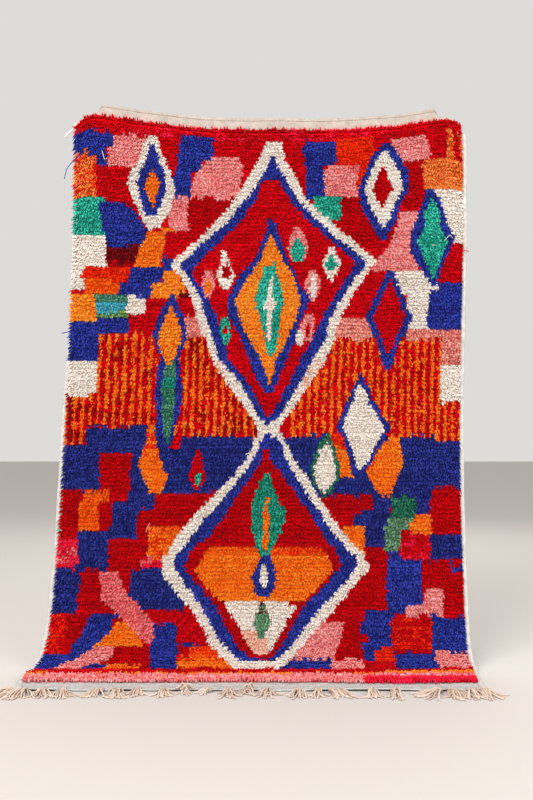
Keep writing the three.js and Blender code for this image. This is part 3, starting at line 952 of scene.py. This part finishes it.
def ground_material():
    """The flat weave: knots show from the back in their own colours between lines of weft."""
    nodes = Nodes("ground_weave")
    knot = nodes.attribute("knot_colour", "Color")
    place = nodes.add("ShaderNodeUVMap", uv_map="weave")
    split = nodes.add("ShaderNodeSeparateXYZ")
    nodes.link(place.outputs["UV"], split.inputs["Vector"])
    across, along = split.outputs["X"], split.outputs["Y"]
    fibres = nodes.noise(600, 3)
    # The wool is a cool white: painted skylight, as on the band at the foot, which faces the sky
    wool = nodes.ramp(nodes.noise(45, 4), [(0.3, (187, 186, 183)), (0.7, (211, 211, 208))])
    warp = nodes.math("PINGPONG", nodes.math("MULTIPLY", across, WARPS_A_KNOT), 0.5)
    line = nodes.math("PINGPONG", along, 0.5)
    shown = nodes.math("MULTIPLY", nodes.math("GREATER_THAN", line, WEFT_LINE), nodes.attribute("knotted"))
    shown = nodes.math("MULTIPLY", shown, nodes.math("GREATER_THAN", warp, WARP_LINE))
    shown = nodes.math("MAXIMUM", shown, nodes.attribute("under_pile"))
    from_cord = nodes.math("ABSOLUTE", nodes.math("ADD", along, EDGE_CORD), 0)
    edge_line = nodes.math("LESS_THAN", from_cord, 0.1)
    wool = nodes.mix(nodes.math("MULTIPLY", edge_line, nodes.noise(30, 2)), wool, linear((120, 112, 104)))
    # The band at the top is tinted back to warmer, slightly darker wool, so the two bands of one wool
    # differ by painted light
    top_band = nodes.math("LESS_THAN", along, 0)
    wool = nodes.mix(top_band, wool, linear((247, 232, 222)), "MULTIPLY")
    colour = nodes.mix(shown, wool, knot)
    nodes.wool(colour, fibres, (185, 185, 185), 0.6)
    weft = nodes.math("PINGPONG", nodes.math("MULTIPLY", along, WEFTS_A_ROW), 0.5)
    cords = nodes.math("ADD", nodes.math("MULTIPLY", warp, 1.2), weft)
    nodes.bump(nodes.math("ADD", cords, nodes.math("MULTIPLY", fibres, 0.6)), 0.8, 0.0012)
    return nodes.material


def bed_height(across, along):
    """How far the front of the ground stands out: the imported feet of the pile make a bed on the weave."""
    to_side = PILE_HALF_WIDE - np.abs(across)
    to_end = np.minimum(along - TOP_KILIM, PILE_END - along)
    rise = smooth(np.minimum(to_side, to_end), 0, 12)
    return GROUND_THICK + rise * (BED_HEIGHT - GROUND_THICK + 0.9 * soft_noise(across, along, 22, 52))


def build_ground(material):
    """One closed woven sheet. Its grid has a column for each column of knots and two rows for each row."""
    side = RUG_WIDTH / 2 - SELVEDGE / 2
    columns = np.linspace(-PILE_HALF_WIDE, PILE_HALF_WIDE, KNOTS_ACROSS + 1)
    across = np.concatenate([[-side], columns, [side]])
    band = np.linspace(0, TOP_KILIM, 9)[:-1]
    pile = np.linspace(TOP_KILIM, PILE_END, 2 * KNOTS_ALONG + 1)
    foot = np.linspace(PILE_END, RUG_LENGTH, 13)[1:]
    along = np.concatenate([band, pile, foot])
    in_pile = (along >= TOP_KILIM) & (along <= PILE_END)
    ridge = np.where(in_pile & (np.arange(len(along)) % 2 == 1), RIDGE, 0.0)
    u, v = np.meshgrid(across, along)
    uneven = 0.2 * soft_noise(u, v, 17, 51)
    front = rug_point(u, v, bed_height(u, v) + uneven)
    back = rug_point(u, v, np.clip(0.5 - ridge[:, None] + uneven, 0, 1.2))
    index = np.arange(u.size).reshape(u.shape)
    rim = np.concatenate([index[0], index[1:, -1], index[-1, -2::-1], index[-2:0:-1, 0]])
    after = np.roll(rim, -1)
    faces = np.concatenate([
        quad_grid(index),
        quad_grid(index + u.size)[:, ::-1],
        np.stack([rim, after, after + u.size, rim + u.size], -1),
    ])
    piece = new_object("ground", np.stack([front, back]), faces.ravel(), np.full(len(faces), 4), material)
    paint_ground(piece, across, along)
    return piece


def paint_ground(piece, across, along):
    """The knots' colours on the ground, face by face, and the place of each corner in the weave."""
    mesh = piece.data
    corners = np.zeros(len(mesh.loops), np.int32)
    mesh.loops.foreach_get("vertex_index", corners)
    width, total = len(across), len(across) * len(along)
    row, column = (corners % total) // width, (corners % total) % width
    u, v = across[column], along[row]
    middle_u = u.reshape(-1, 4).mean(1).repeat(4)
    middle_v = v.reshape(-1, 4).mean(1).repeat(4)
    column = np.floor((middle_u + PILE_HALF_WIDE) / KNOT_PITCH_ACROSS)
    row = np.floor((middle_v - TOP_KILIM) / KNOT_PITCH_ALONG)
    knotted = (column >= 0) & (column < KNOTS_ACROSS) & (row >= 0) & (row < KNOTS_ALONG)
    palette = np.array([linear(np.add(dark, light) / 2) for dark, light, _ in YARNS.values()])
    knot_u = (column + 0.5) * KNOT_PITCH_ACROSS - PILE_HALF_WIDE
    knot_v = (row + 0.5) * KNOT_PITCH_ALONG + TOP_KILIM + TIP_SHIFT * 10
    colour = palette[yarn_at(knot_u, knot_v)]
    layer = mesh.attributes.new("knot_colour", "FLOAT_COLOR", "CORNER")
    layer.data.foreach_set("color", colour.astype(np.float32).ravel())
    front = (corners < total).reshape(-1, 4).all(1).repeat(4)
    add_layer(piece, "knotted", knotted, "CORNER")
    add_layer(piece, "under_pile", knotted & front, "CORNER")
    weave = mesh.uv_layers.new(name="weave")
    place = np.stack([(u + PILE_HALF_WIDE) / KNOT_PITCH_ACROSS, (v - TOP_KILIM) / KNOT_PITCH_ALONG], -1)
    weave.data.foreach_set("uv", place.astype(np.float32).ravel())


# The selvedges

# Millimetres: where each runs from the middle, its section and the pitch of the wrapping
LEFT_SELVEDGE = -643
RIGHT_SELVEDGE = 647
SELVEDGE_HALF_WIDE = 8.5
SELVEDGE_HALF_THICK = 4
WRAP_STEP = 4.5


def selvedge_material():
    nodes = Nodes("selvedge_wool")
    colour = nodes.ramp(nodes.noise(60, 4), [(0.3, (190, 188, 184)), (0.7, (219, 216, 211))])
    fibres = nodes.noise(900, 3)
    nodes.wool(colour, fibres, GREY_SHADOW, 0.5)
    nodes.bump(fibres, 0.6, FIBRE_DEEP)
    return nodes.material


def build_selvedge(name, side, material):
    """A selvedge of two warps wrapped with weft, so it has a ridge for each turn of the wrapping."""
    along = np.arange(TOP_KILIM + 20, RUG_LENGTH - 1, WRAP_STEP)
    rng = np.random.default_rng(61 + int(side > 0))
    centre = RIGHT_SELVEDGE if side > 0 else LEFT_SELVEDGE - 8 * smooth(along, 650, 1000)
    centre = centre + 0.8 * soft_noise(0, along, 60, 62)
    sides = 8
    angle = np.arange(sides) * 2 * np.pi / sides
    wrap = 1 + 0.09 * np.where(np.arange(len(along)) % 2 == 0, 1, -1) + rng.uniform(-0.05, 0.05, len(along))
    u = centre[:, None] + SELVEDGE_HALF_WIDE * wrap[:, None] * np.cos(angle)
    out = GROUND_THICK + SELVEDGE_HALF_THICK * wrap[:, None] * np.sin(angle)
    v = along[:, None] + 1.6 * np.cos(angle) * side
    points = cloth_point(u, v, np.clip(out, 0, None))
    faces, sizes = tube_faces(1, len(along), sides)
    piece = new_object(name, points, faces, sizes, material)
    return piece


# The tassels

def warp_material():
    """Undyed plied wool of the tassels, dark to light by tone, with painted shade between its fibres."""
    nodes = Nodes("warp_wool")
    tone = nodes.attribute("tone")
    colour = nodes.ramp(tone, [(0, (152, 124, 110)), (0.4, (206, 184, 168)), (1, (238, 222, 209))])
    fibres = nodes.noise(800, 4)
    nodes.wool(colour, fibres, (180, 172, 160), 0.6)
    nodes.bump(fibres, 0.7, FIBRE_DEEP)
    return nodes.material


def strand_line(start, aim, reach, lift, hump, rng):
    """A strand from its knot over a hump to the floor and along it, in millimetres over the floor."""
    share = np.linspace(0, 1, STRAND_RINGS)
    wander = np.cumsum(rng.uniform(-1, 1, STRAND_RINGS)) * 11 + rng.uniform(-30, 30) * share
    heading = np.radians(aim + wander)
    step = reach / (STRAND_RINGS - 1)
    x = start[0] + np.concatenate([[0], np.cumsum(np.sin(heading[1:]) * step)])
    y = start[1] - np.concatenate([[0], np.cumsum(np.cos(heading[1:]) * step)])
    z = lift + (start[2] - lift) * (1 - smooth(share, 0, 0.3))
    z = z + hump * np.sin(np.pi * np.clip(share / 0.75, 0, 1))
    return np.stack([x, y, z], -1)


def loose_strands(aim, fan, reach, rng):
    """The lines and radii of a tassel's strands, bushing out from the front of its knot."""
    strands = 17 + round(reach / 8)
    lines, radii = [], []
    for k in range(strands):
        place = (k + 0.5) / strands - 0.5
        start = (place * (KNOT_WIDE - 7), -KNOT_DEEP * 0.15, rng.uniform(3, 7))
        radius = rng.uniform(1.9, 2.7)
        heading = aim + 2.2 * fan * place + rng.uniform(-12, 12)
        run = reach * rng.uniform(0.35, 1.0)
        lift = radius
        if reach < SHORT_TASSEL and k % 2:
            heading = aim + 180 + 220 * place
            run = 0.8 * run
            lift = OVER_KILIM
        lines.append(strand_line(start, heading, run, lift, rng.uniform(1, 14), rng))
        radii.append(radius * np.linspace(1, 0.85, STRAND_RINGS) * rng.uniform(0.94, 1.06, STRAND_RINGS))
    return lines, radii


def knot_strands():
    """The lines and radii of the warps that run from the weave into a tassel, and of its knot's turns."""
    lines, radii = [], []
    share = np.linspace(0, 1, STRAND_RINGS)
    for k in range(4):
        place = (k + 0.5) / 4 - 0.5
        x = place * (26 - 18 * share)
        y = KNOT_DEEP / 2 + 9 - (KNOT_DEEP * 0.5 + 9) * share
        z = EDGE_CURL + GROUND_THICK + 1.2 + 1.6 * np.sin(np.pi * share)
        lines.append(np.stack([x, y, z], -1))
        radii.append(np.full(STRAND_RINGS, 1.3))
    turn = np.linspace(-0.25 * np.pi, 1.25 * np.pi, STRAND_RINGS)
    for k in range(3):
        x = KNOT_WIDE * 0.42 * np.cos(turn)
        z = KNOT_HIGH * 0.48 + (KNOT_HIGH * 0.36) * np.sin(turn)
        y = (k - 1) * 3.4 + 1.2 * np.cos(turn * 0.7)
        lines.append(np.stack([x, y, z], -1))
        radii.append(np.full(STRAND_RINGS, 2.1))
    return lines, radii


def build_tassel(number, row, material):
    """A knot of warp ends with its strands bushing out over the floor."""
    across, aim, fan, reach = row
    rng = np.random.default_rng(700 + number)
    lines, radii = loose_strands(aim, fan, reach, rng)
    knot_lines, knot_radii = knot_strands()
    lines = np.array(lines + knot_lines)
    radii = np.array(radii + knot_radii)
    lines[..., 2] = np.maximum(lines[..., 2], radii)
    place = np.array([across, -(FRONT_EDGE + SEAT_GAP + KNOT_DEEP / 2), FLOOR_Z])
    points, faces, sizes = sweep((lines + place) * MM, radii * MM, STRAND_SIDES, np.array([0, 0, 1.0]))
    name = f"tassel_{number + 1:02d}"
    piece = new_object(f"{name}_yarn", points, faces, sizes, material)
    tone = 0.55 + rng.uniform(-0.3, 0.3, len(lines))[:, None, None]
    # Painted shade towards each strand's knot end, lighter towards its tip
    tone = tone + np.linspace(-0.15, 0.2, STRAND_RINGS)[None, :, None]
    add_layer(piece, "tone", np.broadcast_to(tone, (len(lines), STRAND_RINGS, STRAND_SIDES)))
    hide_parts(name)
    return piece


def build_loose(materials):
    """The loose threads, joined into one mesh for each yarn."""
    pieces = []
    for yarn in dict.fromkeys(row[0] for row in LOOSE):
        lines, radii = [], []
        for _, radius, route in (row for row in LOOSE if row[0] == yarn):
            route = np.array(route, float)
            place = np.linspace(0, len(route) - 1, STRAND_RINGS)
            u, v, out = (np.interp(place, np.arange(len(route)), column) for column in route.T)
            lines.append(cloth_point(u * 10 - RUG_WIDTH / 2, v * 10, out))
            radii.append(np.full(STRAND_RINGS, radius * MM))
        aside = np.array([0.3, 0.2, 1.0])
        points, faces, sizes = sweep(np.array(lines), np.array(radii), STRAND_SIDES, aside)
        piece = new_object(f"loose_{yarn}", points, faces, sizes, materials[yarn])
        add_layer(piece, "tone", np.full(points.shape[:-1], 0.6))
        pieces.append(piece)
    return pieces


# The stage, the light and the camera

# Sizes and places in metres, and the lights' power in watts
STAGE_WIDTH = 60
STAGE_GAP = 0.0004
LIGHT_TARGET = (0, -0.2, -0.9)
LIGHT_SIZE = 3.0
LIGHTS = [
    # name, place, power, colour
    ("key_light", (-2.2, -3.6, 2.2), 262, (1, 0.98, 0.96)),
    ("fill_light", (3.0, -3.2, 0.4), 115, (0.98, 0.99, 1)),
    ("back_light", (0.5, 3.5, 1.5), 70, (1, 0.98, 0.96)),
]
ROOM_COLOUR = (0.86, 0.84, 0.82, 1)
ROOM_STRENGTH = 0.85
CAMERA_ACROSS = -0.022
CAMERA_AWAY = 2.946
CAMERA_HEIGHT = 0.696


def build_stage():
    nodes = Nodes("pale_floor")
    nodes.shader.inputs["Base Color"].default_value = linear((197, 192, 187))
    nodes.shader.inputs["Roughness"].default_value = 0.85
    bpy.ops.mesh.primitive_plane_add(size=STAGE_WIDTH, location=(0, 0, FLOOR_Z * MM - STAGE_GAP))
    floor = bpy.context.object
    floor.name = "floor"
    floor.data.materials.append(nodes.material)


def build_lights():
    for name, place, power, colour in LIGHTS:
        data = bpy.data.lights.new(name, "AREA")
        data.shape = "SQUARE"
        data.size = LIGHT_SIZE
        data.energy = power
        data.color = colour
        lamp = bpy.data.objects.new(name, data)
        lamp.location = place
        lamp.rotation_euler = (Vector(LIGHT_TARGET) - Vector(place)).to_track_quat("-Z", "Y").to_euler()
        bpy.context.scene.collection.objects.link(lamp)
    world = bpy.data.worlds.new("pale_room")
    world.use_nodes = True
    background = world.node_tree.nodes["Background"]
    background.inputs["Color"].default_value = ROOM_COLOUR
    background.inputs["Strength"].default_value = ROOM_STRENGTH
    bpy.context.scene.world = world
    bpy.context.scene.view_settings.view_transform = "Standard"


def build_camera():
    """A level camera, low in front of the foot, shifted to take in the whole rug."""
    data = bpy.data.cameras.new("camera")
    data.sensor_fit = "VERTICAL"
    data.sensor_height = 36
    data.lens = 39.375
    data.shift_x = 0.0056
    data.shift_y = 0.05375
    data.clip_end = 100
    camera = bpy.data.objects.new("camera", data)
    camera.location = (CAMERA_ACROSS, -CAMERA_AWAY, FLOOR_Z * MM + CAMERA_HEIGHT)
    camera.rotation_euler = (np.pi / 2, 0, 0)
    bpy.context.scene.collection.objects.link(camera)
    bpy.context.scene.camera = camera


build_camera()
build_stage()
build_lights()

yarn_materials = {yarn: yarn_material(yarn) for yarn in YARNS}
ground = build_ground(ground_material())
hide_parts("rug")
pile = build_pile(yarn_materials)
edging = selvedge_material()
selvedges = [build_selvedge("selvedge_left", -1, edging), build_selvedge("selvedge_right", 1, edging)]
warp = warp_material()
tassels = [build_tassel(number, row, warp) for number, row in enumerate(TASSELS)]
loose = build_loose(yarn_materials)
